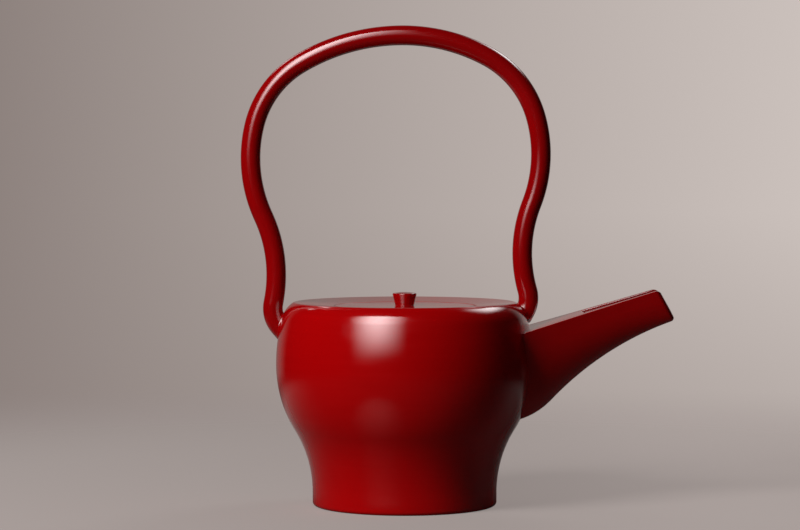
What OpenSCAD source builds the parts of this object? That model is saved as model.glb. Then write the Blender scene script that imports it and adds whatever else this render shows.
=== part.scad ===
// Choshi sake ewer: a turned and lacquered wooden pot with a carved spout, a bent bail handle
// and a lift-off lid. Millimetres, +Z up, the spout points along +X, origin under the foot's centre.

/* [Body] */
// Height of the body from the table to the top of the rim
body_h = 101.5; // [88:0.5:120]
// Radius of the belly at its widest
belly_r = 64.2; // [56:0.2:74]
// Height of the rim above the widest line of the belly
belly_drop = 31; // [26:0.5:38]
// Radius of the foot
foot_r = 46; // [40:0.2:54]
// Height of the upright band of the foot
foot_h = 6.4; // [3:0.2:10]
// Rounding of the foot's lower edge
foot_edge = 1.8; // [0.4:0.1:3]
// Radius of the hollow curve above the foot
waist_round = 60; // [40:1:80]
// Radius of the shoulder
shoulder_r = 13; // [9:0.5:16]
// Slope of the shoulder where the rim's rounding begins
shoulder_slope = 57; // [45:1:70]
// Rounding of the rim
rim_round = 1.6; // [1:0.1:3]
// Distance from the widest line of the belly in to the rim
rim_inset = 9.3; // [8:0.1:12]
// Thickness of the wall
wall = 6; // [4:0.5:8]
// Thickness of the floor
floor_t = 6; // [4:0.5:9]
// Rounding between the floor and the wall inside
floor_fillet = 8; // [4:0.5:14]
// Width of the foot ring
foot_ring_w = 6; // [4:0.5:9]
// Depth of the hollow under the foot
foot_recess = 2.5; // [1:0.5:4]

/* [Top plate] */
// Radius of the rebate that takes the top plate
plate_r = 51; // [49:0.5:53]
// Depth of the rebate below the rim
plate_t = 7; // [6:0.5:9]
// Width of the ledge under the top plate
ledge_w = 3.5; // [2:0.5:6]
// Thickness of the ledge under the top plate
ledge_t = 4; // [3:0.5:6]
// Slope of the dished top towards the lid
dish_slope = 5; // [2:0.5:8]
// Radius of the mouth
mouth_r = 30.5; // [26:0.5:33]

/* [Lid] */
// Radius of the lid
lid_r = 35; // [34:0.5:42]
// Thickness of the lid's disc
lid_t = 3.2; // [2.6:0.1:4]
// Rounding of the lid's upper edge
lid_edge = 0.6; // [0.2:0.1:1.2]
// Height of the locating ring under the lid
flange_h = 6; // [3:0.5:10]
// Thickness of the locating ring under the lid
flange_t = 4; // [3:0.5:8]
// Play between the lid and the top plate
lid_play = 0.4; // [0.3:0.05:0.8]
// Diameter of the knob at the lid
knob_base_d = 9.2; // [7:0.2:12]
// Diameter of the knob at its top
knob_top_d = 12; // [9:0.2:15]
// Height of the knob
knob_h = 6.7; // [5:0.1:10]
// Rounding of the knob's upper edge
knob_edge = 0.6; // [0.3:0.1:1.2]
// Height of the dome on the knob's top
knob_crown = 0.5; // [0.2:0.1:1.5]
// Diameter of the knob's tenon
knob_tenon_d = 5; // [3:0.5:6.5]

/* [Spout] */
// Reach of the spout beyond the belly
spout_reach = 70.9; // [60:0.1:85]
// Height of the spout's upper tip above the rim
lip_rise = 6.4; // [3:0.2:10]
// Height of the cut end of the spout
tip_depth = 15.2; // [10:0.1:18]
// How far the lower lip stands out beyond the upper tip
lip_rake = 8.7; // [3:0.1:10]
// Slope of the spout's top
top_slope = 16.8; // [13:0.2:20]
// Radius of the long hollow sweep under the spout
sweep_r = 155; // [135:1:180]
// Slope of the underside at the lip
lip_slope = 19; // [15:0.5:23]
// Steepest slope of the underside
sweep_slope = 46.5; // [43:0.5:50]
// Radius of the bulge where the underside meets the body
bulge_r = 35; // [28:1:50]
// Width of the spout at the body
root_w = 50; // [44:0.5:56]
// Width of the spout at the tip
tip_w = 18.5; // [17:0.5:24]
// How far inside the widest line of the belly the width at the body is taken
root_inset = 5; // [3:0.5:8]
// How much the spout's sides hollow in plan, from straight up to a full curve
root_hollow = 0.6; // [0:0.05:0.8]
// Lean of the spout's cheeks, closer together below
cheek_lean = 10.5; // [4:0.5:13]
// Thickness of the spout's cheeks at the body
root_wall = 7; // [6:0.2:9]
// Thickness of the spout's cheeks at the tip
tip_wall = 3.5; // [2.6:0.1:5]
// Thickness of the trough's bottom
trough_floor = 4; // [3:0.2:6]
// Width of the rounded lower corners at the body
root_corner = 11; // [7:0.5:13]
// Width of the rounded lower corners at the tip
tip_corner = 3.5; // [3:0.1:6]
// Share of the spout's depth that its rounded lower corners take up
corner_share = 0.74; // [0.4:0.02:0.84]
// Reach of the cover beyond the belly
cover_reach = 25; // [18:0.5:36]
// Thickness of the cover
cover_t = 4; // [3:0.2:6]
// Diameter of the pouring hole through the wall
pour_d = 20; // [12:0.5:24]
// Diameter of the pegs that hold the spout
peg_d = 2.4; // [1.6:0.2:3]
// Depth of a peg in the body's wall, and in the cheek
peg_depth = 3; // [2:0.2:4]
// Height of the lower pegs below the rim
peg_drop = 42; // [39:0.5:44]
// Height from the lower pegs to the upper pegs
peg_rise = 14; // [10:0.5:18]

/* [Handle] */
// Diameter of the handle's rod
rod_d = 10; // [8:0.2:12]
// Height of the handle's top above the rim
handle_rise = 137.8; // [120:0.2:160]
// Place of the handle's top, towards the spout
apex_x = -0.8; // [-6:0.1:6]
// Radius of the upper bends
bend_r = 49; // [42:0.5:54]
// Radius of the bends above the feet
foot_bend_r = 14; // [11:0.5:18]
// Height of the rim above the rear foot
rear_foot_drop = 12.4; // [10:0.2:18]
// Height of the rim above the front foot
front_foot_drop = 4.8; // [3:0.2:8]
// Diameter of the tenons on the feet
tenon_d = 6; // [4:0.2:7]
// Length of the rear tenon
rear_tenon_l = 13; // [10:0.5:16]
// Length of the front tenon
front_tenon_l = 16; // [12:0.5:19]
// Length of the saw cut that takes a wedge
kerf_l = 9; // [6:0.5:11]
// Width of the saw cut that takes a wedge
kerf_w = 1; // [0.8:0.1:1.6]
// Width of a wedge across its tenon
wedge_w = 4.8; // [3:0.1:5.4]
// Thickness of a wedge at its thin end
wedge_tip = 0.3; // [0.2:0.05:0.6]

/* [Hidden] */
// Room left for glue and lacquer in every fixed joint
glue_gap = 0.1;
// Extra length of a cut past the face that it opens
cut_over = 1;
// Largest turn of an arc between two points of an outline
arc_step = 4;
$fn = 96;

lacquer = [0.55, 0.02, 0.03];
lacquer_dark = [0.45, 0.02, 0.03];
bamboo = [0.78, 0.66, 0.42];

function on_arc(c, r, a) = c + r * [cos(a), sin(a)];
function arc(c, r, a0, a1) =
    let (n = max(1, ceil(abs(a1 - a0) / arc_step)))
    [for (i = [0:n]) on_arc(c, r, a0 + (a1 - a0) * i / n)];
function mix(a, b, t) = a + (b - a) * t;

// Outline of the body: a hollow and a full arc from the foot to the belly, then belly, shoulder and rim
belly_z = body_h - belly_drop;
waist_turn = 2 * atan((belly_r - foot_r) / (belly_z - foot_h));
belly_low_r = (belly_z - foot_h) / sin(waist_turn) - waist_round;
rim_c = [belly_r - rim_inset, body_h - rim_round];
shoulder_c = on_arc(rim_c, rim_round - shoulder_r, shoulder_slope);
shoulder_off = shoulder_c - [belly_r, belly_z];
belly_high_r = (pow(shoulder_r, 2) - shoulder_off * shoulder_off) / (2 * (shoulder_off[0] + shoulder_r));
belly_high_c = [belly_r - belly_high_r, belly_z];
belly_turn = atan2(shoulder_c[1] - belly_z, shoulder_c[0] - belly_high_c[0]);

// The outline from the foot's edge to the top of the rim, moved out by g
function outline(g) = concat(
    arc([foot_r - foot_edge, foot_edge], foot_edge + g, -90, 0),
    arc([foot_r + waist_round, foot_h], waist_round - g, 180, 180 - waist_turn),
    arc([belly_r - belly_low_r, belly_z], belly_low_r + g, -waist_turn, 0),
    arc(belly_high_c, belly_high_r + g, 0, belly_turn),
    arc(shoulder_c, shoulder_r + g, belly_turn, shoulder_slope),
    arc(rim_c, rim_round + g, shoulder_slope, 90));
body_line = outline(0);
radius_at_z = [for (p = body_line) [p[1], p[0]]];
function outer_r(z) = lookup(z, radius_at_z);
function inner_r(z) = outer_r(z) - wall;

// The dished top, from the rim in to the lid
dish_start = on_arc(rim_c, rim_round, 90 + dish_slope);
function dish_z(r) = dish_start[1] - (dish_start[0] - r) * tan(dish_slope);
plate_z = body_h - plate_t;
ledge_r = plate_r - ledge_w;
ledge_low_z = plate_z - ledge_t;
undercut_z = ledge_low_z - (inner_r(ledge_low_z) - ledge_r);
floor_z = foot_recess + floor_t;
fillet_z = floor_z + floor_fillet;
inner_steps = 16;

seat_r = lid_r + lid_play;
lid_z = dish_z(seat_r);
seat_z = lid_z - lid_t;

// Handle: each half leaves the top level and is a chain of five bends, given as turns
apex_z = body_h + handle_rise - rod_d / 2;
rear_turns = [30.7, 45.5, 38.5, -36.4, 53];
front_turns = [28, 45.7, 37.5, -37, 45.3];
rear_foot_z = body_h - rear_foot_drop;
front_foot_z = body_h - front_foot_drop;

// Heading after the first n bends of a half, measured from its own level start
function heading(turns, n) = n == 0 ? 0 : heading(turns, n - 1) + turns[n - 1];
// Step out and down over bend n, for a radius of 1
function bend_step(turns, n) =
    let (a = heading(turns, n), b = heading(turns, n + 1), s = sign(turns[n]))
    s * [sin(b) - sin(a), cos(b) - cos(a)];
// The crown's radius and the leg's radius follow from where the foot has to land
function half_radii(turns, span, drop) =
    let (v = [for (n = [0:4]) bend_step(turns, n)],
         left = [span, -drop] - bend_r * v[1] - foot_bend_r * v[4],
         leg = v[2] + v[3],
         det = v[0][0] * leg[1] - v[0][1] * leg[0],
         crown_r = (left[0] * leg[1] - left[1] * leg[0]) / det,
         leg_r = (v[0][0] * left[1] - v[0][1] * left[0]) / det)
    [crown_r, bend_r, leg_r, leg_r, foot_bend_r];
// Where bend n starts, from the top of the handle
function bend_start(turns, radii, n) =
    n == 0 ? [0, 0] : bend_start(turns, radii, n - 1) + radii[n - 1] * bend_step(turns, n - 1);
// Points along bend n after its start, each with its heading
function bend_points(turns, radii, n) =
    let (start = bend_start(turns, radii, n), a = heading(turns, n), s = sign(turns[n]),
         k = ceil(abs(turns[n]) / rod_step))
    [for (i = [1:k]) let (b = a + turns[n] * i / k)
        [start + s * radii[n] * [sin(b) - sin(a), cos(b) - cos(a)], b]];
// A half of the rod's centre line, with a straight end that reaches into the body
function half_path(turns, radii) =
    let (bends = [for (n = [0:4]) each bend_points(turns, radii, n)],
         foot = bends[len(bends) - 1])
    concat(bends, [[foot[0] + cope_l * [cos(foot[1]), -sin(foot[1])], foot[1]]]);

rear_span = outer_r(rear_foot_z) + apex_x;
front_span = outer_r(front_foot_z) - apex_x;
rear_radii = half_radii(rear_turns, rear_span, apex_z - rear_foot_z);
front_radii = half_radii(front_turns, front_span, apex_z - front_foot_z);
// Length of rod past the foot's centre that is cut to the body's curve
cope_l = rod_d;
rod_sides = 24;
// Largest turn of the rod from one ring of points to the next
rod_step = 5.2;

// Spout: upper tip and lower lip of the cut end
tip_x = belly_r + spout_reach - lip_rake;
tip_z = body_h + lip_rise;
lip = [tip_x + lip_rake, tip_z - tip_depth];
// The underside: the long sweep from the lip back to the bulge
sweep_c = lip + sweep_r * [sin(lip_slope), -cos(lip_slope)];
bulge_start = sweep_c + sweep_r * [-sin(sweep_slope), cos(sweep_slope)];
bulge_c = bulge_start + bulge_r * [-sin(sweep_slope), cos(sweep_slope)];
root_line_x = belly_r - root_inset;
cover_x = belly_r + cover_reach;

function top_z(x) = tip_z + (x - tip_x) * tan(top_slope);
function under_z(x) = x > bulge_start[0]
    ? sweep_c[1] + sqrt(pow(sweep_r, 2) - pow(x - sweep_c[0], 2))
    : bulge_c[1] - sqrt(pow(bulge_r, 2) - pow(x - bulge_c[0], 2));
// 1 at the body, 0 at the tip
function near_root(x) = min(1, max(0, (lip[0] - x) / (lip[0] - root_line_x)));
function half_w(x) =
    let (t = near_root(x)) mix(tip_w, root_w, mix(t, t * t, root_hollow)) / 2;
function cheek_t(x) = mix(tip_wall, root_wall, pow(near_root(x), 2));

// Sizes of the section at x, on the outer face, or on the channel's face when inner is 1:
// half width, bottom, width and height of the rounded corner
function section_w(x, inner) = half_w(x) - inner * cheek_t(x);
function section_low(x, inner) = under_z(x) + inner * trough_floor;
function corner_w(x, inner) = max(1, mix(tip_corner, root_corner, near_root(x)) - inner * cheek_t(x) / 2);
function corner_h(x, inner) =
    inner == 1 ? corner_w(x, 1) : corner_share * (top_z(x) - under_z(x));
// How far a cheek has come in at the height z
function lean_in(x, z) = (top_z(x) - z) * tan(cheek_lean);
// Half width at the height z
function wall_y(x, z, inner) =
    let (w = corner_w(x, inner), h = corner_h(x, inner),
         drop = min(h, max(0, section_low(x, inner) + h - z)))
    section_w(x, inner) - w + w * sqrt(1 - pow(drop / h, 2)) - lean_in(x, z);

// One line along the trough has a side, -1 or 1, and a place p from 0 at the top edge down to 3 under
// the middle: 0 to 1 down the cheek, 1 to 2 round the corner, 2 to 3 along the bottom
side_levels = [0, 0.5, 1, 1.15, 1.3, 1.45, 1.6, 1.75, 1.9, 2, 2.5];
trough_lines = concat([for (p = side_levels) [-1, p]], [[1, 3]],
                      [for (i = [len(side_levels) - 1:-1:0]) [1, side_levels[i]]]);
trough_steps = 18;
// How far the trough is drawn into the body before it is cut to the body's curve
root_sink = 2;
solve_steps = 12;
cover_steps = 8;

// Cross-section at x: [y, z] of a line on the outer face, or on the channel's face when inner is 1
function section(line, x, inner) =
    let (w = section_w(x, inner), low = section_low(x, inner),
         r = corner_w(x, inner), h = corner_h(x, inner),
         p = line[1],
         a = 90 * (p - 1),
         z = p <= 1 ? mix(top_z(x), low + h, p) : p <= 2 ? low + h - h * sin(a) : low,
         y = p <= 1 ? w : w - r + r * cos(min(a, 90)))
    [line[0] * (y - lean_in(x, z)) * min(1, 3 - p), z];
// Where a line starts, just inside the body's curve, and where it meets the cut end
function root_x(line, inner, x = belly_r, n = solve_steps) =
    n == 0 ? x :
    let (s = section(line, x, inner))
    root_x(line, inner, sqrt(pow(outer_r(s[1]) - root_sink, 2) - pow(s[0], 2)), n - 1);
function end_x(line, inner, x = tip_x, n = solve_steps) =
    n == 0 ? x :
    let (s = section(line, x, inner))
    end_x(line, inner, tip_x + (tip_z - s[1]) * lip_rake / tip_depth, n - 1);
function trough_point(line, inner, i, a, b) =
    let (x = mix(a, b, i / trough_steps), s = section(line, x, inner)) [x, s[0], s[1]];
// All points of one line, from the body to the cut end
function trough_run(line, inner) =
    let (a = root_x(line, inner), b = end_x(line, inner))
    [for (i = [0:trough_steps]) trough_point(line, inner, i, a, b)];

// Pegs: one pair low, one pair high, in the middle of the cheeks at the body
peg_zs = [body_h - peg_drop, body_h - peg_drop + peg_rise];
peg_line_x = belly_r - peg_depth / 4;
function peg_y(z) = (wall_y(peg_line_x, z, 0) + wall_y(peg_line_x, z, 1)) / 2;
function peg_x(z) = sqrt(pow(outer_r(z), 2) - pow(peg_y(z), 2));
pour_z = (peg_zs[0] + peg_zs[1]) / 2;

// The solid body without its hollow, moved out by g
module body_block(g) {
    rotate_extrude() polygon(concat([[0, -g]], outline(g), [[0, body_h + g]]));
}

// Carries a child drawn along +Z to a foot of the handle: side is -1 at the rear and 1 at the front
module at_foot(side, turns) {
    foot_z = side < 0 ? rear_foot_z : front_foot_z;
    translate([side * outer_r(foot_z), 0, foot_z])
        rotate([0, side * (90 + heading(turns, 5)), 0]) children();
}

// One ring of points round the rod: side is -1 in the rear half and 1 in the front half
function rod_ring(side, at) =
    let (c = [apex_x + side * at[0][0], apex_z + at[0][1]], up = [side * sin(at[1]), cos(at[1])])
    [for (i = [0:rod_sides - 1]) let (a = 360 * i / rod_sides, r = rod_d / 2)
        [c[0] + r * cos(a) * up[0], r * sin(a), c[1] + r * cos(a) * up[1]]];

// The whole rod, from the rear foot over the top to the front foot
module rod() {
    rear = half_path(rear_turns, rear_radii);
    front = half_path(front_turns, front_radii);
    rings = concat([for (i = [len(rear) - 1:-1:0]) rod_ring(-1, rear[i])], [rod_ring(1, [[0, 0], 0])],
                   [for (at = front) rod_ring(1, at)]);
    k = rod_sides;
    last = (len(rings) - 1) * k;
    sides = [for (i = [0:len(rings) - 2], j = [0:k - 1])
        let (a = i * k + j, b = i * k + (j + 1) % k) each [[a, b + k, a + k], [a, b, b + k]]];
    ends = [[for (j = [k - 1:-1:0]) j], [for (j = [0:k - 1]) last + j]];
    polyhedron([for (r = rings) each r], concat(sides, ends));
}

// A tenon that starts inside the rod, with the saw cut for its wedge
module tenon(length) {
    difference() {
        translate([0, 0, -rod_d / 2]) cylinder(d = tenon_d, h = length + rod_d / 2);
        translate([-kerf_w / 2, -tenon_d, length - kerf_l]) cube([kerf_w, 2 * tenon_d, kerf_l + cut_over]);
    }
}

module tenon_bore(length) {
    translate([0, 0, -rod_d]) cylinder(d = tenon_d + 2 * glue_gap, h = length + rod_d + cut_over);
}

// A wedge that fills the saw cut in a tenon and ends flush with it
module wedge(length) {
    head = (kerf_w - glue_gap) / 2;
    tip = wedge_tip / 2;
    low = length - kerf_l + cut_over;
    translate([0, wedge_w / 2, 0]) rotate([90, 0, 0]) linear_extrude(wedge_w)
        polygon([[-tip, low], [tip, low], [head, length], [-head, length]]);
}

module pegs(extra_r, extra_l) {
    for (side = [-1, 1], z = peg_zs)
        translate([peg_x(z) - peg_depth - extra_l, side * peg_y(z), z]) rotate([0, 90, 0])
            cylinder(d = peg_d + 2 * extra_r, h = 2 * (peg_depth + extra_l));
}

module body() {
    inner_wall = [for (i = [0:inner_steps])
        let (z = mix(undercut_z, fillet_z, i / inner_steps)) [inner_r(z), z]];
    fillet_c = [inner_r(fillet_z) - floor_fillet, fillet_z];
    color(lacquer) difference() {
        rotate_extrude() polygon(concat(
            [[0, foot_recess], [foot_r - foot_ring_w, foot_recess], [foot_r - foot_ring_w, 0]],
            body_line,
            arc(rim_c, rim_round, 90, 90 + dish_slope),
            [[plate_r, dish_z(plate_r)], [plate_r, plate_z], [ledge_r, plate_z], [ledge_r, ledge_low_z]],
            inner_wall,
            arc(fillet_c, floor_fillet, 0, -90),
            [[0, floor_z]]));
        at_foot(-1, rear_turns) tenon_bore(rear_tenon_l);
        at_foot(1, front_turns) tenon_bore(front_tenon_l);
        translate([0, 0, pour_z]) rotate([0, 90, 0]) cylinder(d = pour_d, h = 2 * belly_r);
        pegs(glue_gap, glue_gap);
    }
}

module top_plate() {
    edge_r = plate_r - glue_gap;
    color(lacquer) rotate_extrude() polygon([
        [mouth_r, plate_z], [edge_r, plate_z], [edge_r, dish_z(edge_r)],
        [seat_r, lid_z], [seat_r, seat_z], [mouth_r, seat_z]]);
}

module lid() {
    flange_r = mouth_r - lid_play;
    color(lacquer) rotate_extrude() polygon(concat(
        [[knob_tenon_d / 2 + glue_gap, seat_z], [flange_r - flange_t, seat_z],
         [flange_r - flange_t, seat_z - flange_h], [flange_r, seat_z - flange_h], [flange_r, seat_z],
         [lid_r, seat_z]],
        arc([lid_r - lid_edge, lid_z - lid_edge], lid_edge, 0, 90),
        [[knob_tenon_d / 2 + glue_gap, lid_z]]));
}

module lid_knob() {
    crown_edge_r = knob_top_d / 2 - knob_edge;
    crown_r = (pow(crown_edge_r, 2) + pow(knob_crown, 2)) / (2 * knob_crown);
    side_top = lid_z + knob_h - knob_crown - knob_edge;
    crown_a = asin(crown_edge_r / crown_r);
    color(lacquer) rotate_extrude() polygon(concat(
        [[0, seat_z], [knob_tenon_d / 2, seat_z], [knob_tenon_d / 2, lid_z], [knob_base_d / 2, lid_z]],
        arc([crown_edge_r, side_top], knob_edge, 0, 90),
        arc([0, lid_z + knob_h - crown_r], crown_r, 90 - crown_a, 90)));
}

// The trough is a ring of lines, down the outer face and back along the channel, from body to cut end
module spout_trough() {
    m = len(trough_lines);
    outer_runs = [for (l = trough_lines) trough_run(l, 0)];
    inner_runs = [for (i = [m - 1:-1:0]) trough_run(trough_lines[i], 1)];
    runs = concat(outer_runs, inner_runs);
    k = 2 * m;
    points = [for (i = [0:trough_steps], r = runs) r[i]];
    last = trough_steps * k;
    sides = [for (i = [0:trough_steps - 1], j = [0:k - 1])
        let (a = i * k + j, b = i * k + (j + 1) % k) each [[a, a + k, b + k], [a, b + k, b]]];
    ends = [for (j = [0:m - 2])
        let (a = j, b = j + 1, c = k - 2 - j, d = k - 1 - j)
        each [[a, b, c], [a, c, d], [last + a, last + c, last + b], [last + a, last + d, last + c]]];
    color(lacquer) difference() {
        polyhedron(points, concat(sides, ends));
        body_block(glue_gap);
        pegs(glue_gap, glue_gap);
    }
}

// The cover lies between the cheeks, flush with their top, from inside the body to the open trough
module spout_cover() {
    corners = [[-1, 0], [-1, cover_t], [1, cover_t], [1, 0]];
    back_x = root_line_x - root_inset;
    points = [for (i = [0:cover_steps], c = corners)
        let (x = mix(back_x, cover_x, i / cover_steps), z = top_z(x) - c[1])
        [x, c[0] * (wall_y(x, z, 1) - glue_gap), z]];
    k = len(corners);
    last = cover_steps * k;
    sides = [for (i = [0:cover_steps - 1], j = [0:k - 1])
        let (a = i * k + j, b = i * k + (j + 1) % k) each [[a, a + k, b + k], [a, b + k, b]]];
    ends = [[for (j = [0:k - 1]) j], [for (j = [k - 1:-1:0]) last + j]];
    color(lacquer_dark) difference() {
        polyhedron(points, concat(sides, ends));
        body_block(glue_gap);
    }
}

module spout_pegs() {
    color(bamboo) pegs(0, 0);
}

module handle() {
    color(lacquer) union() {
        difference() {
            rod();
            body_block(glue_gap);
        }
        at_foot(-1, rear_turns) tenon(rear_tenon_l);
        at_foot(1, front_turns) tenon(front_tenon_l);
    }
}

module rear_tenon_wedge() {
    color(bamboo) at_foot(-1, rear_turns) wedge(rear_tenon_l);
}

module front_tenon_wedge() {
    color(bamboo) at_foot(1, front_turns) wedge(front_tenon_l);
}

body();
top_plate();
lid();
lid_knob();
spout_trough();
spout_cover();
spout_pegs();
handle();
rear_tenon_wedge();
front_tenon_wedge();
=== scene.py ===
import math
import bmesh
import bpy
from mathutils import Matrix, Vector


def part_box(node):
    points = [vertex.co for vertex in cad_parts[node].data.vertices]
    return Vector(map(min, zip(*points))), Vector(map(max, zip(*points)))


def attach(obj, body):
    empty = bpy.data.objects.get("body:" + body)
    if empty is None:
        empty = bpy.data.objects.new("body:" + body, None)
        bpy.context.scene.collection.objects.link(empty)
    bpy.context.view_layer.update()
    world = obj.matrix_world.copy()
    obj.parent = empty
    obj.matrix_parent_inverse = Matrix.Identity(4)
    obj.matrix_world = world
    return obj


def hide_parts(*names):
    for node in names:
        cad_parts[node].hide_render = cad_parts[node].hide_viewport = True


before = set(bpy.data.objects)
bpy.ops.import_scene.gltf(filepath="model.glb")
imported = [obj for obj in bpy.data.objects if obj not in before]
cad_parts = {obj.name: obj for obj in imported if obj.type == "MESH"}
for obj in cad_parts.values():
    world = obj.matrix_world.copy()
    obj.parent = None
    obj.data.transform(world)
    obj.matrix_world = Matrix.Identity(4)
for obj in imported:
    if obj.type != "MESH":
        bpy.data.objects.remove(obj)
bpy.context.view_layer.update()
scene = bpy.context.scene
scene.view_settings.view_transform = "Standard"
mm = 0.001
print("frame loaded:", ", ".join(sorted(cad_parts)))


# drawing an outline in the XZ plane, in millimetres from the pot's axis and from the table
def at(r, z):
    return Vector((r * mm, 0, z * mm))


def onCircle(centre, radius, angle):  # angle in degrees, from +r towards +z
    a = math.radians(angle)
    return (centre[0] + radius * math.cos(a), centre[1] + radius * math.sin(a))


def lineTo(bm, tip, r, z, cuts=0):  # straight stretch in cuts + 1 equal pieces
    start = tip.co.copy()
    for i in range(cuts + 1):
        tip = bmesh.ops.extrude_vert_indiv(bm, verts=[tip])["verts"][0]
        tip.co = start.lerp(at(r, z), (i + 1) / (cuts + 1))
    return tip


def arcTo(bm, tip, centre, turn, step=3):  # round stretch about centre, turn in degrees
    steps = max(1, math.ceil(abs(turn) / step))
    swept = bmesh.ops.spin(bm, geom=[tip], cent=at(*centre), axis=(0, -1, 0),
                           angle=math.radians(turn), steps=steps)
    return swept["geom_last"][0]


lathe = dict(weld=0.002 * mm, sliver=0.001 * mm)  # closer points are merged, shorter edges taken out


def turnOnLathe(bm, steps):  # spins the drawn outline round the pot's axis
    bmesh.ops.spin(bm, geom=bm.verts[:] + bm.edges[:], cent=(0, 0, 0), axis=(0, 0, 1),
                   angle=math.tau, steps=steps, use_merge=True)
    bmesh.ops.remove_doubles(bm, verts=bm.verts[:], dist=lathe["weld"])
    bmesh.ops.dissolve_degenerate(bm, edges=bm.edges[:], dist=lathe["sliver"])
    bmesh.ops.recalc_face_normals(bm, faces=bm.faces[:])


# sorting what an operator gives back
def vertsIn(geom):
    return [g for g in geom if isinstance(g, bmesh.types.BMVert)]


def edgesIn(geom):
    return [g for g in geom if isinstance(g, bmesh.types.BMEdge)]


def facesIn(geom):
    return [g for g in geom if isinstance(g, bmesh.types.BMFace)]


# work that the carved and bent pieces share
def pullOut(bm, faces):  # extrudes faces; as their edges are given too, none is left inside
    edges = dict.fromkeys(e for f in faces for e in f.edges)
    return bmesh.ops.extrude_face_region(bm, geom=[*faces, *edges])["geom"]


def carveAlong(bm, stations, place):  # the section travels along the piece; gives back the faces at its end
    for v in bm.verts:
        v.co = place(v, 0)
    cap = bm.faces[:]
    for step in range(1, stations + 1):
        moved = pullOut(bm, cap)
        for v in vertsIn(moved):
            v.co = place(v, step / stations)
        cap = facesIn(moved)
    bmesh.ops.recalc_face_normals(bm, faces=bm.faces[:])
    return cap


def sharpEdges(edges, angle=50):  # angle between the faces, in degrees
    return [e for e in edges if e.calc_face_angle(0) > math.radians(angle)]


def soften(bm, edges, width, segments):  # gives back the faces of the rounding
    return bmesh.ops.bevel(bm, geom=edges, offset=width * mm, segments=segments, profile=0.5,
                           affect="EDGES", material=-1)["faces"]


def toMesh(name, bm):
    mesh = bpy.data.meshes.new(name)
    bm.to_mesh(mesh)
    bm.free()
    return mesh


def addPiece(name, bm, body, material, nodes, crease=40):
    mesh = toMesh(name, bm)
    mesh.shade_smooth()
    mesh.materials.append(material)
    piece = bpy.data.objects.new(name, mesh)
    scene.collection.objects.link(piece)
    piece.modifiers.new("crisp edges", "EDGE_SPLIT").split_angle = math.radians(crease)
    piece.modifiers.new("even shading", "WEIGHTED_NORMAL")
    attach(piece, body)
    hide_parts(*nodes)
    print("made", name, "with", len(mesh.polygons), "faces")
    return piece


# material nodes: most of these give back the output that the next node takes
def newMaterial(name):
    mat = bpy.data.materials.new(name)
    mat.use_nodes = True
    return mat, mat.node_tree


def feed(tree, socket, value):  # links another node's output, or sets a plain value
    if isinstance(value, bpy.types.NodeSocket):
        tree.links.new(value, socket)
    else:
        socket.default_value = value


def maths(tree, operation, *values):
    made = tree.nodes.new("ShaderNodeMath")
    made.operation = operation
    for socket, value in zip(made.inputs, values):
        feed(tree, socket, value)
    return made.outputs[0]


def mapped(tree, value, run, to=(0, 1), smooth=False):  # takes a run of values to another, eased if asked
    made = tree.nodes.new("ShaderNodeMapRange")
    made.interpolation_type = "SMOOTHSTEP" if smooth else "LINEAR"
    for name, given in zip(("Value", "From Min", "From Max", "To Min", "To Max"), (value, *run, *to)):
        feed(tree, made.inputs[name], given)
    return made.outputs["Result"]


def blended(tree, share, colourA, colourB):
    made = tree.nodes.new("ShaderNodeMix")
    made.data_type = "RGBA"
    for name, given in zip(("Factor", "A", "B"), (share, colourA, colourB)):
        feed(tree, made.inputs[name], given)
    return made.outputs["Result"]


def axesOf(tree, vector):
    made = tree.nodes.new("ShaderNodeSeparateXYZ")
    feed(tree, made.inputs["Vector"], vector)
    return made.outputs


def lengthOf(tree, vector):
    made = tree.nodes.new("ShaderNodeVectorMath")
    made.operation = "LENGTH"
    feed(tree, made.inputs[0], vector)
    return made.outputs["Value"]


def noise(tree, vector, scale, detail):
    made = tree.nodes.new("ShaderNodeTexNoise")
    made.inputs["Scale"].default_value = scale
    made.inputs["Detail"].default_value = detail
    feed(tree, made.inputs["Vector"], vector)
    return made.outputs["Fac"]


def marksAlong(tree, place, marks, turn, detail):  # marks: how fine they run along x, y and z
    along = tree.nodes.new("ShaderNodeMapping")
    along.inputs["Rotation"].default_value = (0, math.radians(turn), 0)
    along.inputs["Scale"].default_value = marks
    feed(tree, along.inputs["Vector"], place)
    return noise(tree, along.outputs["Vector"], 1, detail)


def bumped(tree, height, distance, under=None):  # under: the bump that it lies on
    made = tree.nodes.new("ShaderNodeBump")
    made.inputs["Distance"].default_value = distance
    feed(tree, made.inputs["Height"], height)
    if under:
        feed(tree, made.inputs["Normal"], under)
    return made.outputs["Normal"]


# red lacquer: the same coats everywhere, with faint marks that follow how each piece was worked; the darker
# red of the handle, knob and channel is painted shade
lacquer = dict(deepRed=(0.34, 0.0004, 0.0010), brightRed=(0.43, 0.0006, 0.0014), cloud=28, cloudDetail=2,
               peel=420, peelDetail=1, brushShare=0.5, brushRun=(0.3, 0.7), gloss=(0.10, 0.16),
               coat=0.2, coatRough=0.05, peelDepth=0.0007 * mm, markDepth=0.001 * mm)


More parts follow.
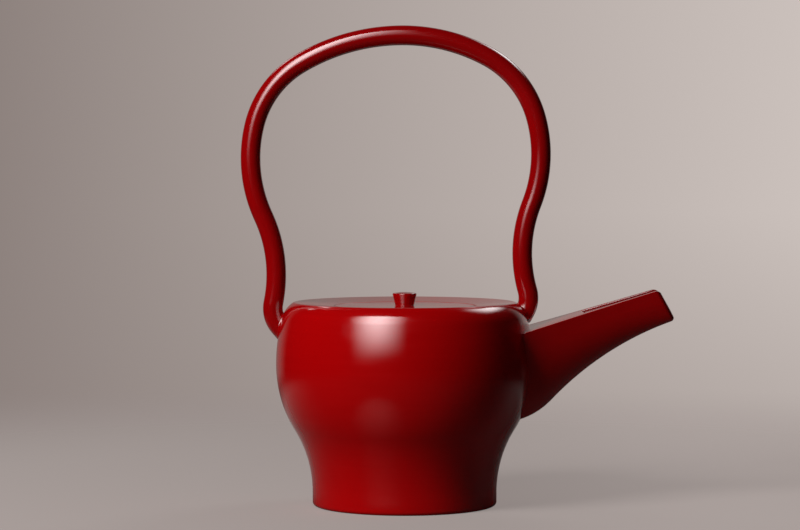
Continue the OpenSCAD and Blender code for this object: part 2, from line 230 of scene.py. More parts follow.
def redLacquer(name, marks, turn=0, depth=1, detail=4):  # depth: share of the full red; below 1 the darker red is painted shade
    mat, tree = newMaterial(name)
    shader = tree.nodes["Principled BSDF"].inputs
    place = tree.nodes.new("ShaderNodeTexCoord").outputs["Object"]
    brush = marksAlong(tree, place, marks, turn, detail)
    cloud = noise(tree, place, lacquer["cloud"], lacquer["cloudDetail"])
    peel = noise(tree, place, lacquer["peel"], lacquer["peelDetail"])

    clouds = maths(tree, "MULTIPLY", cloud, 1 - lacquer["brushShare"])
    tone = maths(tree, "MULTIPLY_ADD", brush, lacquer["brushShare"], clouds)  # brush marks over broad clouds
    reds = [(r * depth, g, b, 1) for r, g, b in (lacquer["deepRed"], lacquer["brightRed"])]
    feed(tree, shader["Base Color"], blended(tree, tone, *reds))
    feed(tree, shader["Roughness"], mapped(tree, brush, lacquer["brushRun"], lacquer["gloss"]))
    markBump = bumped(tree, brush, lacquer["markDepth"])
    feed(tree, shader["Normal"], bumped(tree, peel, lacquer["peelDepth"], under=markBump))
    shader["Coat Weight"].default_value = lacquer["coat"]
    shader["Coat Roughness"].default_value = lacquer["coatRough"]
    return mat


turnedLacquer = redLacquer("turnedLacquer", (22, 22, 700))  # rings left by the lathe
carvedLacquer = redLacquer("carvedLacquer", (20, 500, 500), turn=17)  # brushed along the spout
channelShadedLacquer = redLacquer("channelShadedLacquer", (20, 500, 500), turn=17, depth=0.5)  # painted shade: darker inside the spout
bentShadedLacquer = redLacquer("bentShadedLacquer", (16, 200, 16), depth=0.72, detail=1)  # brushed along the rod; its darker red is painted shade
# painted shade: the knob's red is darker
knobShadedLacquer = redLacquer("knobShadedLacquer", (60, 60, 300), depth=0.72, detail=2)


# split bamboo: pale, with fibres along the piece
bamboo = dict(pale=(0.62, 0.46, 0.25, 1), dark=(0.40, 0.26, 0.12, 1), fibre=(60, 1500, 1500), fibreDetail=3,
              fibreDepth=0.04 * mm, rough=0.55)


def splitBamboo(name, turn):
    mat, tree = newMaterial(name)
    shader = tree.nodes["Principled BSDF"].inputs
    place = tree.nodes.new("ShaderNodeTexCoord").outputs["Object"]
    fibre = marksAlong(tree, place, bamboo["fibre"], turn, bamboo["fibreDetail"])
    feed(tree, shader["Base Color"], blended(tree, fibre, bamboo["dark"], bamboo["pale"]))
    feed(tree, shader["Normal"], bumped(tree, fibre, bamboo["fibreDepth"]))
    shader["Roughness"].default_value = bamboo["rough"]
    return mat


# the pot: foot, waist, belly, shoulder and rim are arcs that run into each other
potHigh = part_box("body")[1]
pot = dict(height=potHigh.z / mm, bellyR=potHigh.y / mm, bellyDrop=31, footR=46, footH=6.4, footEdge=1.8,
           waistRound=60, shoulderR=13, shoulderSlope=57, rimRound=1.6, rimInset=9.3, wall=6, floor=6,
           floorFillet=8, footRing=6, footRecess=2.5, footFillet=1.2, ringEdge=0.8, plateR=51, plateDrop=7,
           ledge=3.5, ledgeThick=4, dishSlope=5, innerStop=4, innerWaist=0.75, pourD=20, pourZ=66.5,
           pourSides=64, steps=192)

bellyZ = pot["height"] - pot["bellyDrop"]
waistC = (pot["footR"] + pot["waistRound"], pot["footH"])
waistTurn = 2 * math.degrees(math.atan((pot["bellyR"] - pot["footR"]) / (bellyZ - pot["footH"])))
bellyLowR = (bellyZ - pot["footH"]) / math.sin(math.radians(waistTurn)) - pot["waistRound"]
bellyLowC = (pot["bellyR"] - bellyLowR, bellyZ)
rimC = (pot["bellyR"] - pot["rimInset"], pot["height"] - pot["rimRound"])
shoulderC = onCircle(rimC, pot["rimRound"] - pot["shoulderR"], pot["shoulderSlope"])
shoulderOut = shoulderC[0] - pot["bellyR"]
shoulderUp = shoulderC[1] - bellyZ
bellyHighR = pot["shoulderR"] ** 2 - shoulderOut ** 2 - shoulderUp ** 2
bellyHighR /= 2 * (shoulderOut + pot["shoulderR"])
bellyHighC = (pot["bellyR"] - bellyHighR, bellyZ)
bellyTurn = math.degrees(math.atan2(shoulderUp, shoulderC[0] - bellyHighC[0]))
dishR, dishTop = onCircle(rimC, pot["rimRound"], 90 + pot["dishSlope"])
plateZ = pot["height"] - pot["plateDrop"]


def dishZ(r):  # height of the dished top
    return dishTop - (dishR - r) * math.tan(math.radians(pot["dishSlope"]))


def potGap(co):  # how far a point lies outside the pot, from its waist to its rim
    r = math.hypot(co.x, co.y) / mm
    z = co.z / mm
    lift = math.degrees(math.atan2(z - shoulderC[1], r - shoulderC[0]))
    if lift > pot["shoulderSlope"]:
        return math.hypot(r - rimC[0], z - rimC[1]) - pot["rimRound"]
    if lift > bellyTurn:
        return math.hypot(r - shoulderC[0], z - shoulderC[1]) - pot["shoulderR"]
    if z > bellyZ:
        return math.hypot(r - bellyHighC[0], z - bellyZ) - bellyHighR
    if z > waistC[1] + pot["waistRound"] * math.sin(math.radians(waistTurn)):
        return math.hypot(r - bellyLowC[0], z - bellyZ) - bellyLowR
    return pot["waistRound"] - math.hypot(r - waistC[0], z - waistC[1])


def potOutline(bm):
    ringR = pot["footR"] - pot["footRing"]
    ledgeR = pot["plateR"] - pot["ledge"]
    tip = bm.verts.new(at(0, pot["footRecess"]))
    tip = lineTo(bm, tip, ringR - pot["footFillet"], pot["footRecess"], cuts=4)
    tip = arcTo(bm, tip, (ringR - pot["footFillet"], pot["footRecess"] - pot["footFillet"]), -90, step=15)
    tip = lineTo(bm, tip, ringR, pot["ringEdge"])
    tip = arcTo(bm, tip, (ringR + pot["ringEdge"], pot["ringEdge"]), 90, step=15)
    tip = lineTo(bm, tip, pot["footR"] - pot["footEdge"], 0)
    tip = arcTo(bm, tip, (pot["footR"] - pot["footEdge"], pot["footEdge"]), 90, step=15)
    tip = lineTo(bm, tip, pot["footR"], pot["footH"], cuts=3)
    tip = arcTo(bm, tip, waistC, -waistTurn, step=1)
    tip = arcTo(bm, tip, bellyLowC, waistTurn, step=1)
    tip = arcTo(bm, tip, bellyHighC, bellyTurn, step=0.6)
    tip = arcTo(bm, tip, shoulderC, pot["shoulderSlope"] - bellyTurn, step=2)
    tip = arcTo(bm, tip, rimC, 90 + pot["dishSlope"] - pot["shoulderSlope"], step=4)
    tip = lineTo(bm, tip, pot["plateR"], dishZ(pot["plateR"]), cuts=2)
    tip = lineTo(bm, tip, pot["plateR"], plateZ)
    tip = lineTo(bm, tip, ledgeR, plateZ)
    tip = lineTo(bm, tip, ledgeR, plateZ - pot["ledgeThick"])
    # inside, back down to the floor along the same arcs, one wall in
    innerTop = onCircle(bellyHighC, bellyHighR - pot["wall"], bellyTurn - pot["innerStop"])
    tip = lineTo(bm, tip, *innerTop, cuts=2)
    tip = arcTo(bm, tip, bellyHighC, pot["innerStop"] - bellyTurn, step=2)
    tip = arcTo(bm, tip, bellyLowC, -waistTurn, step=2)
    tip = arcTo(bm, tip, waistC, waistTurn * pot["innerWaist"], step=2)
    floorZ = pot["footRecess"] + pot["floor"]
    filletC = (tip.co.x / mm - pot["floorFillet"], floorZ + pot["floorFillet"])
    tip = lineTo(bm, tip, filletC[0] + pot["floorFillet"], filletC[1])
    tip = arcTo(bm, tip, filletC, -90, step=6)
    lineTo(bm, tip, 0, floorZ, cuts=4)


def drill(piece, cutter):  # cuts a hole with a closed mesh and drops the cutter
    tool = bpy.data.objects.new("drill", cutter)
    scene.collection.objects.link(tool)
    finish = piece.modifiers[:]
    for modifier in finish:
        modifier.show_viewport = False
    cut = piece.modifiers.new("hole", "BOOLEAN")
    cut.operation = "DIFFERENCE"
    cut.object = tool
    cutMesh = bpy.data.meshes.new_from_object(piece.evaluated_get(bpy.context.evaluated_depsgraph_get()))
    piece.modifiers.remove(cut)
    for modifier in finish:
        modifier.show_viewport = True
    piece.data = cutMesh
    bpy.data.objects.remove(tool)


bm = bmesh.new()
potOutline(bm)
turnOnLathe(bm, pot["steps"])
potPiece = addPiece("pot", bm, "ewer", turnedLacquer, ["body"])

bm = bmesh.new()  # the pouring hole, from the pot's middle out through the wall behind the spout
holeReach = pot["bellyR"] * mm
holeR = pot["pourD"] / 2 * mm
outward = Matrix.Translation((holeReach, 0, pot["pourZ"] * mm)) @ Matrix.Rotation(math.radians(90), 4, "Y")
bmesh.ops.create_cone(bm, cap_ends=True, segments=pot["pourSides"], radius1=holeR, radius2=holeR,
                      depth=holeReach, matrix=outward)
drill(potPiece, toMesh("drill", bm))


# the dished top plate, let into the rim, with the step that the lid sits in
plate = dict(mouthR=30.5, lidR=35, lidPlay=0.4, lidThick=3.2, edge=0.5)
seatR = plate["lidR"] + plate["lidPlay"]
lidZ = dishZ(seatR)
seatZ = lidZ - plate["lidThick"]

bm = bmesh.new()
tip = bm.verts.new(at(plate["mouthR"], plateZ))
tip = lineTo(bm, tip, pot["plateR"], plateZ)
tip = lineTo(bm, tip, pot["plateR"], dishZ(pot["plateR"]))
tip = lineTo(bm, tip, seatR + plate["edge"], dishZ(seatR + plate["edge"]), cuts=8)
tip = arcTo(bm, tip, (seatR + plate["edge"], dishZ(seatR + plate["edge"]) - plate["edge"]), 90, step=15)
tip = lineTo(bm, tip, seatR, seatZ)
tip = lineTo(bm, tip, plate["mouthR"] + plate["edge"], seatZ)
tip = arcTo(bm, tip, (plate["mouthR"] + plate["edge"], seatZ - plate["edge"]), 90, step=15)
lineTo(bm, tip, plate["mouthR"], plateZ)
turnOnLathe(bm, pot["steps"])
addPiece("topPlate", bm, "ewer", turnedLacquer, ["top_plate"])


# the lid: a flat disc with a locating ring underneath
lid = dict(edge=0.6, ringH=6, ringT=4, ringEdge=0.5, boreR=2.6)
bm = bmesh.new()
ringR = plate["mouthR"] - plate["lidPlay"]
ringLow = seatZ - lid["ringH"]
ringIn = ringR - lid["ringT"]
tip = bm.verts.new(at(lid["boreR"], seatZ))
tip = lineTo(bm, tip, ringIn, seatZ, cuts=3)
tip = lineTo(bm, tip, ringIn, ringLow + lid["ringEdge"])
tip = arcTo(bm, tip, (ringIn + lid["ringEdge"], ringLow + lid["ringEdge"]), 90, step=15)
tip = lineTo(bm, tip, ringR - lid["ringEdge"], ringLow)
tip = arcTo(bm, tip, (ringR - lid["ringEdge"], ringLow + lid["ringEdge"]), 90, step=15)
tip = lineTo(bm, tip, ringR, seatZ)
tip = lineTo(bm, tip, plate["lidR"], seatZ)
tip = lineTo(bm, tip, plate["lidR"], lidZ - lid["edge"])
tip = arcTo(bm, tip, (plate["lidR"] - lid["edge"], lidZ - lid["edge"]), 90, step=15)
tip = lineTo(bm, tip, lid["boreR"], lidZ, cuts=8)
lineTo(bm, tip, lid["boreR"], seatZ)
turnOnLathe(bm, pot["steps"])
addPiece("lid", bm, "lid", turnedLacquer, ["lid"])


# the knob: a small flared stub with a softly domed top, and its tenon through the lid
knob = dict(baseR=4.6, topR=6, height=6.7, edge=0.6, crown=0.5, tenonR=2.5, foot=0.3, steps=64)
bm = bmesh.new()
crownEdge = knob["topR"] - knob["edge"]
crownR = (crownEdge ** 2 + knob["crown"] ** 2) / (2 * knob["crown"])
sideTop = lidZ + knob["height"] - knob["crown"] - knob["edge"]
tip = bm.verts.new(at(0, seatZ))
tip = lineTo(bm, tip, knob["tenonR"], seatZ)
tip = lineTo(bm, tip, knob["tenonR"], lidZ)
tip = lineTo(bm, tip, knob["baseR"] + knob["foot"], lidZ)
tip = lineTo(bm, tip, knob["baseR"] + knob["foot"] / 3, lidZ + knob["foot"] / 2)
tip = lineTo(bm, tip, knob["topR"], sideTop, cuts=3)
tip = arcTo(bm, tip, (crownEdge, sideTop), 90, step=10)
crownTurn = math.degrees(math.asin(crownEdge / crownR))
arcTo(bm, tip, (0, lidZ + knob["height"] - crownR), crownTurn, step=2)
turnOnLathe(bm, knob["steps"])
addPiece("lidKnob", bm, "lid", knobShadedLacquer, ["lid_knob"])


# the spout: a trough that tapers from the pot to a raked tip, open on top beyond its cover
spout = dict(reach=70.9, lipRise=6.4, tipDepth=15.2, lipRake=8.7, topSlope=16.8, sweepR=155, lipSlope=19,
             sweepSlope=46.5, bulgeR=35, rootW=50, tipW=18.5, rootInset=5, rootHollow=0.6, cheekLean=10.5,
             rootWall=7, tipWall=3.5, floor=4, rootCorner=11, tipCorner=3.5, cornerShare=0.74, sink=1.5,
             upright=2, cornerCuts=18, rootRounds=30, endRounds=12, stations=28, topEdge=0.35, topCuts=3,
             endEdge=2.3, endCuts=6, sliver=0.01)
tipX = pot["bellyR"] + spout["reach"] - spout["lipRake"]
tipZ = pot["height"] + spout["lipRise"]
lip = (tipX + spout["lipRake"], tipZ - spout["tipDepth"])
sweepC = onCircle(lip, spout["sweepR"], spout["lipSlope"] - 90)
bulgeStart = onCircle(sweepC, spout["sweepR"], 90 + spout["sweepSlope"])
bulgeC = onCircle(bulgeStart, spout["bulgeR"], 90 + spout["sweepSlope"])
rootLineX = pot["bellyR"] - spout["rootInset"]


def mix(a, b, t):
    return a + (b - a) * t


def spoutTop(x):
    return tipZ + (x - tipX) * math.tan(math.radians(spout["topSlope"]))


def spoutUnder(x):
    if x > bulgeStart[0]:
        return sweepC[1] + math.sqrt(spout["sweepR"] ** 2 - (x - sweepC[0]) ** 2)
    return bulgeC[1] - math.sqrt(spout["bulgeR"] ** 2 - (x - bulgeC[0]) ** 2)


def nearRoot(x):  # 1 at the pot, 0 at the tip
    return min(1, max(0, (lip[0] - x) / (lip[0] - rootLineX)))


def spoutHalf(x):
    t = nearRoot(x)
    return mix(spout["tipW"], spout["rootW"], mix(t, t * t, spout["rootHollow"])) / 2


def cheek(x):
    return mix(spout["tipWall"], spout["rootWall"], nearRoot(x) ** 2)


def troughPoint(x, down, inner):  # down: 0 top edge, 1 and 2 the corner's start and end, 3 under the middle
    top = spoutTop(x)
    half = spoutHalf(x) - inner * cheek(x)
    low = spoutUnder(x) + inner * spout["floor"]
    cornerW = max(1, mix(spout["tipCorner"], spout["rootCorner"], nearRoot(x)) - inner * cheek(x) / 2)
    cornerH = cornerW if inner else spout["cornerShare"] * (top - spoutUnder(x))
    bend = math.radians(90 * min(1, max(0, down - 1)))
    y = half - cornerW + cornerW * math.cos(bend)
    upright = inner * spout["upright"]  # the channel's sides stand upright at the top
    if inner and down <= 0.5:
        z = top - upright * down * 2
    elif inner and down <= 1:
        z = mix(top - upright, low + cornerH, down * 2 - 1)
    else:
        z = mix(top, low + cornerH, min(1, down)) - cornerH * math.sin(bend)
    y -= max(0, top - z - upright) * math.tan(math.radians(spout["cheekLean"]))
    return Vector((x, y * min(1, 3 - down), z)) * mm


def rootX(down, inner):  # where a line of the trough starts, a little inside the pot's wall
    x = pot["bellyR"]
    for _ in range(spout["rootRounds"]):
        x -= potGap(troughPoint(x, down, inner)) + spout["sink"]
    return x


def endX(down, inner):  # where a line of the trough meets the raked cut
    x = tipX
    for _ in range(spout["endRounds"]):
        x = tipX + (tipZ - troughPoint(x, down, inner).z / mm) * spout["lipRake"] / spout["tipDepth"]
    return x


cuts = spout["cornerCuts"]
downs = [0, 0.5, *(1 + i / cuts for i in range(cuts + 1)), 2.25, 2.5, 2.75, 3]  # closest round the corner
runs = {(i, inner): (rootX(d, inner), endX(d, inner)) for i, d in enumerate(downs) for inner in (0, 1)}


def troughPlace(i, inner, t):  # lines past the middle of the floor are on the far side
    near = min(i, 2 * len(downs) - 2 - i)
    place = troughPoint(mix(*runs[near, inner], t), downs[near], inner)
    if near < i:
        place.y = -place.y
    return place


def outsidePot(edges):
    return [e for e in edges if min(potGap(v.co) for v in e.verts) > 0]


bm = bmesh.new()
lineNo = bm.verts.layers.int.new("lineNo")
innerNo = bm.verts.layers.int.new("innerNo")
tip = bm.verts.new((0, 0, 0))
for i in range(1, 2 * len(downs) - 1):  # the outer line of the root's section
    tip = bmesh.ops.extrude_vert_indiv(bm, verts=[tip])["verts"][0]
    tip[lineNo] = i
for v in vertsIn(bmesh.ops.extrude_edge_only(bm, edges=bm.edges[:])["geom"]):
    v[innerNo] = 1
raked = carveAlong(bm, spout["stations"], lambda v, t: troughPlace(v[lineNo], v[innerNo], t))
for f in bm.faces:
    f.material_index = int(all(v[innerNo] for v in f.verts))  # the channel gets the second material, the one with painted shade
ends = outsidePot(sharpEdges(dict.fromkeys(e for f in raked for e in f.edges)))
ends = [e for e in ends if not all(v[innerNo] for v in e.verts)]  # the raked end is rounded on its outside
rounded = soften(bm, ends, spout["endEdge"], spout["endCuts"])
rounded = {v for f in rounded for v in f.verts}
tops = [e for e in outsidePot(sharpEdges(bm.edges)) if rounded.isdisjoint(e.verts)]
soften(bm, tops, spout["topEdge"], spout["topCuts"])
bmesh.ops.dissolve_degenerate(bm, edges=bm.edges[:], dist=spout["sliver"] * mm)
spoutTrough = addPiece("spoutTrough", bm, "ewer", carvedLacquer, ["spout_trough"], crease=12)
spoutTrough.data.materials.append(channelShadedLacquer)


# the cover: a board between the cheeks, flush with their top
cover = dict(reach=25, thick=4, edge=0.3, edgeCuts=3, stations=16)
coverX = pot["bellyR"] + cover["reach"]


def coverPlace(side, low, t):
    x = mix(rootX(0, 1), coverX, t)
    comeIn = low * (cover["thick"] - spout["upright"]) * math.tan(math.radians(spout["cheekLean"]))
    return Vector((x, side * (spoutHalf(x) - cheek(x) - comeIn), spoutTop(x) - low * cover["thick"])) * mm


bm = bmesh.new()
sideNo = bm.verts.layers.int.new("sideNo")
lowNo = bm.verts.layers.int.new("lowNo")
tip = bm.verts.new((0, 0, 0))
tip[sideNo] = -1
tip = bmesh.ops.extrude_vert_indiv(bm, verts=[tip])["verts"][0]
tip[sideNo] = 1
for v in vertsIn(bmesh.ops.extrude_edge_only(bm, edges=bm.edges[:])["geom"]):
    v[lowNo] = 1
carveAlong(bm, cover["stations"], lambda v, t: coverPlace(v[sideNo], v[lowNo], t))
soften(bm, sharpEdges(bm.edges), cover["edge"], cover["edgeCuts"])
addPiece("spoutCover", bm, "ewer", carvedLacquer, ["spout_cover"], crease=12)


# the handle: one bent rod, a chain of five bends on each side of its top
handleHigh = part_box("handle")[1]
rod = dict(radius=4.96, topX=-0.8, topZ=handleHigh.z / mm, upperBend=49, footBend=14, sides=48, step=1.5,
           sink=3.5, sinkSteps=7, fillet=0.8)
rearFoot = dict(side=-1, drop=12.4, turns=(30.7, 45.5, 38.5, -36.4, 53), tenon=13)
frontFoot = dict(side=1, drop=4.8, turns=(28, 45.7, 37.5, -37, 45.3), tenon=16)
tenon = dict(radius=3, sides=32, kerfLong=9, kerfWide=1)


def potRadius(z):  # radius of the pot's outside at a height above the belly
    if z > shoulderC[1] + pot["shoulderR"] * math.sin(math.radians(bellyTurn)):
        return shoulderC[0] + math.sqrt(pot["shoulderR"] ** 2 - (z - shoulderC[1]) ** 2)
    return bellyHighC[0] + math.sqrt(bellyHighR ** 2 - (z - bellyZ) ** 2)


def bendStep(a, b):  # way out and way up over a bend of radius 1 from heading a to heading b
    s = math.copysign(1, b - a)
    a, b = math.radians(a), math.radians(b)
    return Vector((s * (math.sin(b) - math.sin(a)), s * (math.cos(b) - math.cos(a))))


def bendRadii(foot):  # the crown's and the leg's radius follow from where the foot lands
    headings = [sum(foot["turns"][:n]) for n in range(len(foot["turns"]) + 1)]
    ways = [bendStep(a, b) for a, b in zip(headings, headings[1:])]
    footZ = pot["height"] - foot["drop"]
    span = potRadius(footZ) - foot["side"] * rod["topX"]
    drop = rod["topZ"] - rod["radius"] - footZ
    left = Vector((span, -drop)) - rod["upperBend"] * ways[1] - rod["footBend"] * ways[4]
    leg = ways[2] + ways[3]
    det = ways[0].cross(leg)
    crownRadius = left.cross(leg) / det
    legRadius = ways[0].cross(left) / det
    return (crownRadius, rod["upperBend"], legRadius, legRadius, rod["footBend"])


def bendHalf(bm, ring, foot):  # sweeps the ring down one half of the handle and into the pot's wall
    side = foot["side"]
    heading = 0
    centre = Vector((rod["topX"], 0, rod["topZ"] - rod["radius"]))
    for turn, radius in zip(foot["turns"], bendRadii(foot)):
        a = math.radians(heading)
        inward = Vector((-side * math.sin(a), 0, -math.cos(a))) * math.copysign(radius, turn)
        ring = bmesh.ops.spin(bm, geom=ring, cent=(centre + inward) * mm, axis=(0, side, 0),
                              angle=math.radians(turn), steps=math.ceil(abs(turn) / rod["step"]))["geom_last"]
        way = radius * bendStep(heading, heading + turn)
        centre += Vector((side * way.x, 0, way.y))
        heading += turn
    a = math.radians(heading)
    inside = Vector((side * math.cos(a), 0, -math.sin(a)))
    for _ in range(rod["sinkSteps"]):
        ring = bmesh.ops.extrude_edge_only(bm, edges=edgesIn(ring))["geom"]
        bmesh.ops.translate(bm, verts=vertsIn(ring), vec=inside * rod["sink"] / rod["sinkSteps"] * mm)
        loop = set(vertsIn(ring))
        ring = [e for e in bm.edges if loop.issuperset(e.verts)]
    bmesh.ops.edgeloop_fill(bm, edges=ring)
    return centre, heading


def addTenon(bm, foot, centre, heading):  # the round tenon inside the pot, sawn for its wedge
    made = bmesh.new()
    bmesh.ops.create_circle(made, cap_ends=True, segments=tenon["sides"], radius=tenon["radius"] * mm)
    for side in (-1, 1):
        bmesh.ops.bisect_plane(made, geom=made.verts[:] + made.edges[:] + made.faces[:],
                               plane_co=(side * tenon["kerfWide"] / 2 * mm, 0, 0), plane_no=(1, 0, 0))
    solid = foot["tenon"] - tenon["kerfLong"]
    kerf = tenon["kerfWide"] * mm
    moved = pullOut(made, made.faces[:])
    bmesh.ops.translate(made, verts=vertsIn(moved), vec=(0, 0, solid * mm))
    prongs = [[f for f in facesIn(moved) if side * f.calc_center_median().x > kerf] for side in (-1, 1)]
    for prong in prongs:
        moved = pullOut(made, prong)
        bmesh.ops.translate(made, verts=vertsIn(moved), vec=(0, 0, tenon["kerfLong"] * mm))
    bmesh.ops.recalc_face_normals(made, faces=made.faces[:])
    turn = Matrix.Rotation(math.radians(foot["side"] * (90 + heading)), 4, "Y")
    bmesh.ops.transform(made, matrix=Matrix.Translation(centre * mm) @ turn, verts=made.verts[:])
    mesh = toMesh("tenon", made)
    bm.from_mesh(mesh)
    bpy.data.meshes.remove(mesh)


bm = bmesh.new()
topRing = bmesh.ops.create_circle(bm, segments=rod["sides"], radius=rod["radius"] * mm,
                                  matrix=Matrix.Translation(at(rod["topX"], rod["topZ"] - rod["radius"]))
                                  @ Matrix.Rotation(math.radians(90), 4, "Y"))["verts"]
topRing = [*topRing, *bm.edges]
feet = [bendHalf(bm, topRing, foot) for foot in (rearFoot, frontFoot)]
bmesh.ops.recalc_face_normals(bm, faces=bm.faces[:])
bm.normal_update()
for v in bm.verts:  # the lacquer runs out in a small fillet where the rod meets the pot
    gap = max(0, potGap(v.co))
    if gap < rod["fillet"]:
        v.co += v.normal * (rod["fillet"] - math.sqrt(rod["fillet"] ** 2 - (rod["fillet"] - gap) ** 2)) * mm
for foot, (centre, heading) in zip((rearFoot, frontFoot), feet):
    addTenon(bm, foot, centre, heading)
addPiece("handle", bm, "ewer", bentShadedLacquer, ["handle"])


# pegs and wedges keep their CAD shape and get a bamboo finish
for nodeName, turn in (("spout_pegs", 0), ("rear_tenon_wedge", 49), ("front_tenon_wedge", -60)):
    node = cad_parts[nodeName]
    node.data.materials.clear()
    node.data.materials.append(splitBamboo(nodeName + "Bamboo", turn))
print("materials done")


# the floor: paper that is pale to the camera, dim in most reflections, and fades out further off; reflections
# see painted light behind the pot and in a pool by the foot
paper = dict(radius=1.2, sides=64, rough=0.9, fadeRun=(0.25, 0.75), grey=(0.17, 0.147, 0.139, 1),
             glow=(0.285, 0.247, 0.235, 1), glowRun=(0, 0.2), glowRange=(0.86, 1.06),
             dim=(0.025, 0.022, 0.021, 1), lit=(0.42, 0.37, 0.35, 1), backRun=(-0.08, 0.22),
             nearRun=(0.5, 0.2), pool=(-0.047, -0.121, 0), poolTurn=-21, poolSize=(0.05, 0.075, 1),
             poolRun=(1, 0.1), poolLit=0.85)


def floorPaper():
    mat, tree = newMaterial("floorPaper")
    shader = tree.nodes["Principled BSDF"]
    shader.inputs["Roughness"].default_value = paper["rough"]
    shader.inputs["Specular IOR Level"].default_value = 0
    shader.inputs["Emission Color"].default_value = paper["glow"]
    place = tree.nodes.new("ShaderNodeTexCoord").outputs["Object"]
    way = axesOf(tree, place)
    away = lengthOf(tree, place)
    ray = tree.nodes.new("ShaderNodeLightPath").outputs

    inPool = tree.nodes.new("ShaderNodeMapping")  # painted pool of light, seen only in reflections, on the patch of floor that the foot mirrors
    inPool.vector_type = "TEXTURE"
    inPool.inputs["Location"].default_value = paper["pool"]
    inPool.inputs["Rotation"].default_value = (0, 0, math.radians(paper["poolTurn"]))
    inPool.inputs["Scale"].default_value = paper["poolSize"]
    feed(tree, inPool.inputs["Vector"], place)
    toPool = lengthOf(tree, inPool.outputs["Vector"])
    pool = mapped(tree, toPool, paper["poolRun"], (0, paper["poolLit"]), smooth=True)
    back = mapped(tree, way["Y"], paper["backRun"], smooth=True)
    near = mapped(tree, away, paper["nearRun"], smooth=True)
    lit = maths(tree, "MAXIMUM", maths(tree, "MULTIPLY", back, near), pool)
    mirrored = blended(tree, lit, paper["dim"], paper["lit"])  # what reflections see: painted light behind and in the pool, dim elsewhere
    feed(tree, shader.inputs["Base Color"], blended(tree, ray["Is Glossy Ray"], paper["grey"], mirrored))

    # painted light: to the camera the floor glows, a little brighter towards the right, which also lifts its
    # shadow
    right = mapped(tree, way["X"], paper["glowRun"], paper["glowRange"], smooth=True)
    feed(tree, shader.inputs["Emission Strength"], maths(tree, "MULTIPLY", ray["Is Camera Ray"], right))

    fade = mapped(tree, away, paper["fadeRun"], smooth=True)
    clear = tree.nodes.new("ShaderNodeBsdfTransparent")
    both = tree.nodes.new("ShaderNodeMixShader")
    for socket, value in zip(both.inputs, (fade, shader.outputs[0], clear.outputs[0])):
        feed(tree, socket, value)
    feed(tree, tree.nodes["Material Output"].inputs["Surface"], both.outputs[0])
    return mat


bm = bmesh.new()
bmesh.ops.create_circle(bm, cap_ends=True, segments=paper["sides"], radius=paper["radius"])
floorMesh = toMesh("floor", bm)
floorMesh.materials.append(floorPaper())
floor = bpy.data.objects.new("floor", floorMesh)
scene.collection.objects.link(floor)


# the backdrop: a grey wall behind, brighter to the upper right, and a dark room in front
wall = dict(left=(0.265, 0.22, 0.205, 1), right=(0.60, 0.535, 0.505, 1), sideRun=(-0.15, 0.15),
            heightRun=(-0.125, -0.02), heightLow=0.45, behindRun=(0.66, 0.88), mirror=0.72,
            room=(0.004, 0.004, 0.004, 1), fill=(0.004, 0.004, 0.004, 1))


def backdrop():
    world = bpy.data.worlds.new("studio")
    scene.world = world
    world.use_nodes = True
    tree = world.node_tree
    way = axesOf(tree, tree.nodes.new("ShaderNodeTexCoord").outputs["Generated"])
    ray = tree.nodes.new("ShaderNodeLightPath").outputs
    side = mapped(tree, way["X"], wall["sideRun"])
    height = mapped(tree, way["Z"], wall["heightRun"], (wall["heightLow"], 1))
    grey = blended(tree, maths(tree, "MULTIPLY", side, height), wall["left"], wall["right"])
    behind = mapped(tree, way["Y"], wall["behindRun"], (0, wall["mirror"]), smooth=True)
    mirrored = blended(tree, behind, wall["room"], grey)
    felt = blended(tree, ray["Is Glossy Ray"], wall["fill"], mirrored)  # what the pieces get
    seen = blended(tree, ray["Is Camera Ray"], felt, grey)
    feed(tree, tree.nodes["Background"].inputs["Color"], seen)


backdrop()
print("floor and backdrop set")

aim = Vector((0, 0, 0.09))  # the lights face the middle of the pot


# round: degrees to the right of the camera, up: degrees above the aim, away: in m
def standLight(light, lamp):
    up = math.radians(lamp["up"])
    level = Matrix.Rotation(math.radians(lamp["round"]), 3, "Z") @ Vector((0, -math.cos(up), 0))
    way = level + Vector((0, 0, math.sin(up)))
    light.location = aim + way * lamp["away"]
    roll = Matrix.Rotation(math.radians(lamp.get("roll", 0)), 3, "Z")
    light.rotation_euler = (way.to_track_quat("Z", "Y").to_matrix() @ roll).to_euler()
    light.visible_camera = False
    scene.collection.objects.link(light)


softboxes = dict(  # each edge: where on the cloth, from -1 to 1, the glow starts and where it is full
    front=dict(round=-27, up=32, roll=9, away=1.3, wide=1.64, tall=1.54, glow=14.4,
               narrow=(1.2, 1.4), side=(1, 0), low=(-1, 0.1), high=(1, 0.9)),
    rear=dict(round=136, up=45, roll=-25, away=1.2, wide=1.05, tall=0.54, glow=6.6,
              narrow=(1, 1), side=(1, 0.1), low=(-1, -0.1), high=(1, 0.1)))


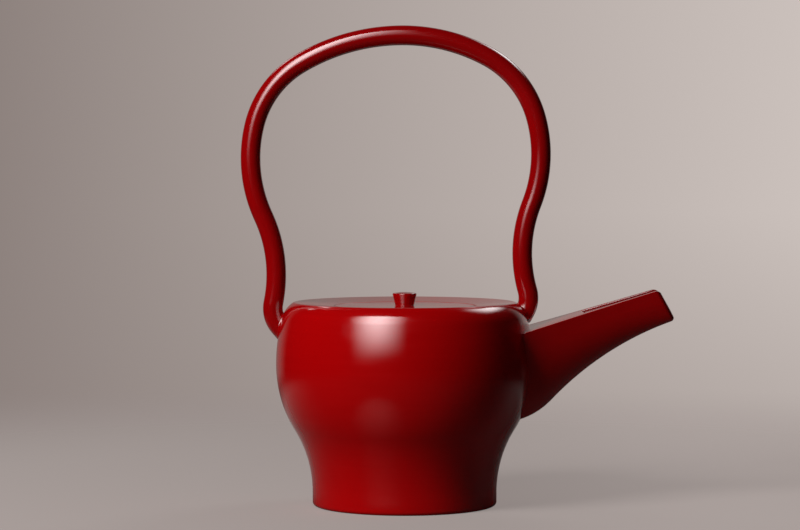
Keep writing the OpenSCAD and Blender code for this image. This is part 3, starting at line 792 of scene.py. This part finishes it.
def softboxCloth(box):
    mat, tree = newMaterial("softboxCloth")
    way = axesOf(tree, tree.nodes.new("ShaderNodeTexCoord").outputs["Object"])
    narrow = mapped(tree, way["Y"], (-1, 1), box["narrow"])  # towards the top
    side = maths(tree, "MULTIPLY", maths(tree, "ABSOLUTE", way["X"]), narrow)
    strength = box["glow"]
    for edge, value in (("side", side), ("low", way["Y"]), ("high", way["Y"])):
        strength = maths(tree, "MULTIPLY", mapped(tree, value, box[edge], smooth=True), strength)
    glow = tree.nodes.new("ShaderNodeEmission")
    feed(tree, glow.inputs["Strength"], strength)
    feed(tree, tree.nodes["Material Output"].inputs["Surface"], glow.outputs[0])
    return mat


for name, box in softboxes.items():  # only reflections see them
    bm = bmesh.new()
    bmesh.ops.create_grid(bm, x_segments=1, y_segments=1, size=1)
    clothMesh = toMesh(name + "Softbox", bm)
    clothMesh.materials.append(softboxCloth(box))
    cloth = bpy.data.objects.new(name + "Softbox", clothMesh)
    standLight(cloth, box)
    cloth.scale = (box["wide"] / 2, box["tall"] / 2, 1)
    cloth.visible_shadow = False
    cloth.visible_diffuse = False

lamps = dict(  # sizes in m, power in W
    key=dict(round=-46, up=30, away=1.3, wide=0.5, tall=0.7, power=17.5, glossy=False),
    rearRight=dict(round=142, up=41, away=1.2, wide=0.35, tall=0.30, power=3, glossy=False),
    rearLeft=dict(round=-144, up=40, away=1.2, wide=0.25, tall=0.25, power=0.6, glossy=True))
for name, lamp in lamps.items():
    data = bpy.data.lights.new(name, "AREA")
    data.shape = "RECTANGLE"
    data.size = lamp["wide"]
    data.size_y = lamp["tall"]
    data.energy = lamp["power"]
    light = bpy.data.objects.new(name, data)
    standLight(light, lamp)
    light.visible_glossy = lamp["glossy"]

shot = dict(width=800, height=530, focal=2757, axisPx=404.6, horizonPx=156.7,  # in pixels
            away=1.375, eye=0.174, sensor=36)  # in m, and the sensor in mm
cameraData = bpy.data.cameras.new("camera")
cameraData.sensor_width = shot["sensor"]
cameraData.lens = shot["focal"] * shot["sensor"] / shot["width"]
camera = bpy.data.objects.new("camera", cameraData)
scene.collection.objects.link(camera)
camera.location = (0, -shot["away"], shot["eye"])
tilt = math.atan((shot["height"] / 2 - shot["horizonPx"]) / shot["focal"])
swing = math.atan((shot["axisPx"] - shot["width"] / 2) / shot["focal"])
camera.rotation_euler = (math.radians(90) - tilt, 0, swing)
scene.camera = camera
print("camera and lights set")
